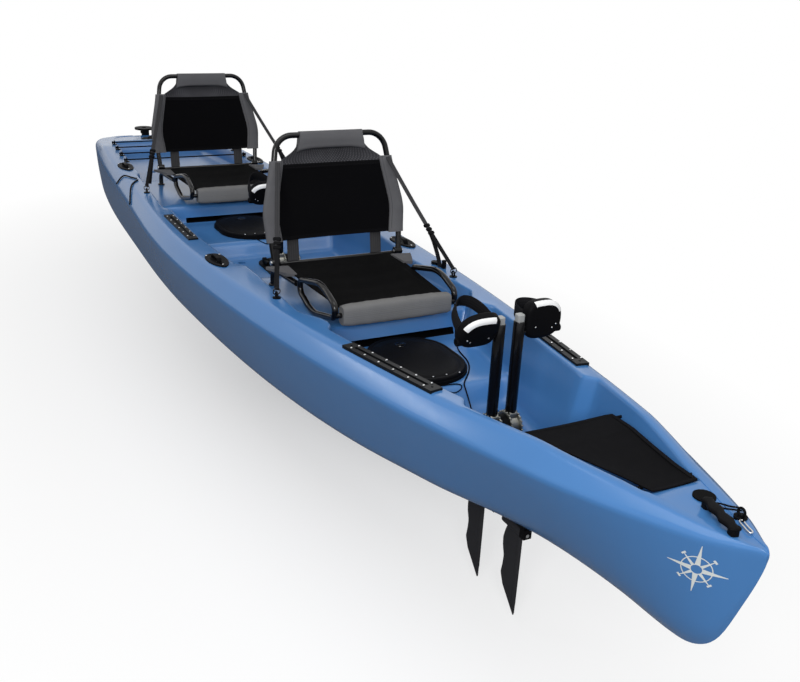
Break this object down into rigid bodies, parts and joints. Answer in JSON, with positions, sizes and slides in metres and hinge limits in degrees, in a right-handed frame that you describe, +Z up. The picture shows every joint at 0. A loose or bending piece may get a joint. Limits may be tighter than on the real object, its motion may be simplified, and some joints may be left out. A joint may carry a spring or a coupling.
{
  "type": "tandem kayak",
  "caption": "Blue sit-on-top tandem kayak with framed mesh seats, two pedal fin drives, hatches, gear tracks, a mesh-covered bow well, a cargo well and a steered kick-up rudder",
  "frame": {"origin": "on the keel line at midship, where a cradle holds the hull", "axes": "+X forward to the bow, +Y to port, +Z up"},
  "size_m": [4.624, 0.8534, 0.9962],
  "materials": {
    "hull_blue": "satin rotomoulded polyethylene",
    "black_plastic": "moulded, fine grain",
    "grey_plastic": "moulded, smooth",
    "black_tube": "gloss powder coat",
    "steel": "stainless",
    "mesh": "open knit",
    "black_fabric": "woven",
    "grey_fabric": "woven",
    "webbing": "flat webbing",
    "cord": "sheathed shock cord",
    "fin_rubber": "moulded flexible blade",
    "badge_metal": "plain satin plate"
  },
  "bodies": {
    "hull": {"hull": "hull_blue", "bow_mesh_cover": "mesh", "mesh_hooks": "black_plastic", "bow_handle": "black_plastic", "bow_badge": "badge_metal", "deck_padeyes": "black_plastic", "front_tracks": "black_plastic", "rear_tracks": "black_plastic", "track_screws": "steel", "side_handles": "black_plastic", "stern_handle": "black_plastic", "cargo_bungees": "cord", "paddle_bungee": "cord", "drain_plug": "black_plastic", "rudder_bracket": "black_plastic", "rudder_pins": "steel", "seat_hinge_pins": "steel", "front_hatch_rim": "black_plastic", "front_hatch_bucket": "black_fabric", "front_seat_frame": "black_tube", "front_seat_pan": "black_fabric", "front_seat_trim": "grey_fabric", "front_seat_straps": "webbing", "front_drive_spine": "black_plastic", "front_drive_shafts": "steel", "rear_hatch_rim": "black_plastic", "rear_hatch_bucket": "black_fabric", "rear_seat_frame": "black_tube", "rear_seat_pan": "black_fabric", "rear_seat_trim": "grey_fabric", "rear_seat_straps": "webbing", "rear_drive_spine": "black_plastic", "rear_drive_shafts": "steel"},
    "front_lid": {"front_hatch_lid": "black_plastic"},
    "front_back": {"front_back_frame": "black_tube", "front_back_panel": "black_fabric", "front_back_sleeves": "grey_fabric"},
    "front_stbd_arm_body": {"front_stbd_arm": "grey_plastic"},
    "front_port_arm_body": {"front_port_arm": "grey_plastic"},
    "front_stbd_pedal_body": {"front_stbd_pedal": "black_plastic"},
    "front_port_pedal_body": {"front_port_pedal": "black_plastic"},
    "front_fore_fin_body": {"front_fore_fin": "fin_rubber"},
    "front_aft_fin_body": {"front_aft_fin": "fin_rubber"},
    "front_lock_cams_body": {"front_lock_cams": "black_plastic"},
    "rear_lid": {"rear_hatch_lid": "black_plastic"},
    "rear_back": {"rear_back_frame": "black_tube", "rear_back_panel": "black_fabric", "rear_back_sleeves": "grey_fabric"},
    "rear_stbd_arm_body": {"rear_stbd_arm": "grey_plastic"},
    "rear_port_arm_body": {"rear_port_arm": "grey_plastic"},
    "rear_stbd_pedal_body": {"rear_stbd_pedal": "black_plastic"},
    "rear_port_pedal_body": {"rear_port_pedal": "black_plastic"},
    "rear_fore_fin_body": {"rear_fore_fin": "fin_rubber"},
    "rear_aft_fin_body": {"rear_aft_fin": "fin_rubber"},
    "rear_lock_cams_body": {"rear_lock_cams": "black_plastic"},
    "steering_lever_body": {"steering_lever": "black_plastic"},
    "rudder_head_body": {"rudder_head": "black_plastic"},
    "rudder_blade_body": {"rudder_blade": "black_plastic"}
  },
  "joints": [
    {"name": "front_lid_lift", "type": "slide", "parent": "hull", "child": "front_lid", "axis": [0, 0, 1], "range_m": [0, 0.055]},
    {"name": "front_back_recline", "type": "hinge", "parent": "hull", "child": "front_back", "pos_m": [0.448, 0, 0.352], "axis": [0, 1, 0], "range_deg": [-10, 60], "deforming": ["front_seat_straps"]},
    {"name": "front_stbd_arm_swing", "type": "hinge", "parent": "hull", "child": "front_stbd_arm_body", "pos_m": [1.42, 0, 0.216], "axis": [0, 1, 0], "range_deg": [-28, 28]},
    {"name": "front_stbd_pedal_tilt", "type": "hinge", "parent": "front_stbd_arm_body", "child": "front_stbd_pedal_body", "pos_m": [1.42, 0, 0.452], "axis": [0, 1, 0], "range_deg": [-25, 25]},
    {"name": "front_port_arm_swing", "type": "hinge", "parent": "hull", "child": "front_port_arm_body", "pos_m": [1.42, 0, 0.216], "axis": [0, 1, 0], "range_deg": [-28, 28]},
    {"name": "front_port_pedal_tilt", "type": "hinge", "parent": "front_port_arm_body", "child": "front_port_pedal_body", "pos_m": [1.42, 0, 0.452], "axis": [0, 1, 0], "range_deg": [-25, 25]},
    {"name": "front_fore_fin_sweep", "type": "hinge", "parent": "hull", "child": "front_fore_fin_body", "pos_m": [1.518, 0, 0.002], "axis": [1, 0, 0], "range_deg": [-75, 75]},
    {"name": "front_aft_fin_sweep", "type": "hinge", "parent": "hull", "child": "front_aft_fin_body", "pos_m": [1.35, 0, 0.002], "axis": [1, 0, 0], "range_deg": [-75, 75]},
    {"name": "front_lock_turn", "type": "hinge", "parent": "hull", "child": "front_lock_cams_body", "pos_m": [1.298, 0, 0.168], "axis": [0, -1, 0], "range_deg": [0, 90]},
    {"name": "rear_lid_lift", "type": "slide", "parent": "hull", "child": "rear_lid", "axis": [0, 0, 1], "range_m": [0, 0.055]},
    {"name": "rear_back_recline", "type": "hinge", "parent": "hull", "child": "rear_back", "pos_m": [-0.988, 0, 0.352], "axis": [0, 1, 0], "range_deg": [-10, 60], "deforming": ["rear_seat_straps"]},
    {"name": "rear_stbd_arm_swing", "type": "hinge", "parent": "hull", "child": "rear_stbd_arm_body", "pos_m": [-0.016, 0, 0.196], "axis": [0, 1, 0], "range_deg": [-28, 28]},
    {"name": "rear_stbd_pedal_tilt", "type": "hinge", "parent": "rear_stbd_arm_body", "child": "rear_stbd_pedal_body", "pos_m": [-0.016, 0, 0.432], "axis": [0, 1, 0], "range_deg": [-25, 25]},
    {"name": "rear_port_arm_swing", "type": "hinge", "parent": "hull", "child": "rear_port_arm_body", "pos_m": [-0.016, 0, 0.196], "axis": [0, 1, 0], "range_deg": [-28, 28]},
    {"name": "rear_port_pedal_tilt", "type": "hinge", "parent": "rear_port_arm_body", "child": "rear_port_pedal_body", "pos_m": [-0.016, 0, 0.432], "axis": [0, 1, 0], "range_deg": [-25, 25]},
    {"name": "rear_fore_fin_sweep", "type": "hinge", "parent": "hull", "child": "rear_fore_fin_body", "pos_m": [0.082, 0, -0.018], "axis": [1, 0, 0], "range_deg": [-75, 75]},
    {"name": "rear_aft_fin_sweep", "type": "hinge", "parent": "hull", "child": "rear_aft_fin_body", "pos_m": [-0.086, 0, -0.018], "axis": [1, 0, 0], "range_deg": [-75, 75]},
    {"name": "rear_lock_turn", "type": "hinge", "parent": "hull", "child": "rear_lock_cams_body", "pos_m": [-0.138, 0, 0.168], "axis": [0, -1, 0], "range_deg": [0, 90]},
    {"name": "lever_turn", "type": "hinge", "parent": "hull", "child": "steering_lever_body", "pos_m": [0.528, 0.30907, 0.31656], "axis": [-0.0299, 0, 0.9996], "range_deg": [-40, 40]},
    {"name": "rudder_steer", "type": "hinge", "parent": "hull", "child": "rudder_head_body", "pos_m": [-2.256, 0, 0.196], "axis": [0, 0, 1], "range_deg": [-40, 40]},
    {"name": "rudder_kick_up", "type": "hinge", "parent": "rudder_head_body", "child": "rudder_blade_body", "pos_m": [-2.302, 0, 0.196], "axis": [0, 1, 0], "range_deg": [0, 100]}
  ],
  "couplings": [
    {"joint": "front_port_arm_swing", "follows": "front_stbd_arm_swing", "ratio": -1},
    {"joint": "front_fore_fin_sweep", "follows": "front_stbd_arm_swing", "ratio": 2.6},
    {"joint": "front_aft_fin_sweep", "follows": "front_stbd_arm_swing", "ratio": -2.6},
    {"joint": "rear_port_arm_swing", "follows": "rear_stbd_arm_swing", "ratio": -1},
    {"joint": "rear_fore_fin_sweep", "follows": "rear_stbd_arm_swing", "ratio": 2.6},
    {"joint": "rear_aft_fin_sweep", "follows": "rear_stbd_arm_swing", "ratio": -2.6},
    {"joint": "rudder_steer", "follows": "lever_turn", "ratio": 1}
  ]
}
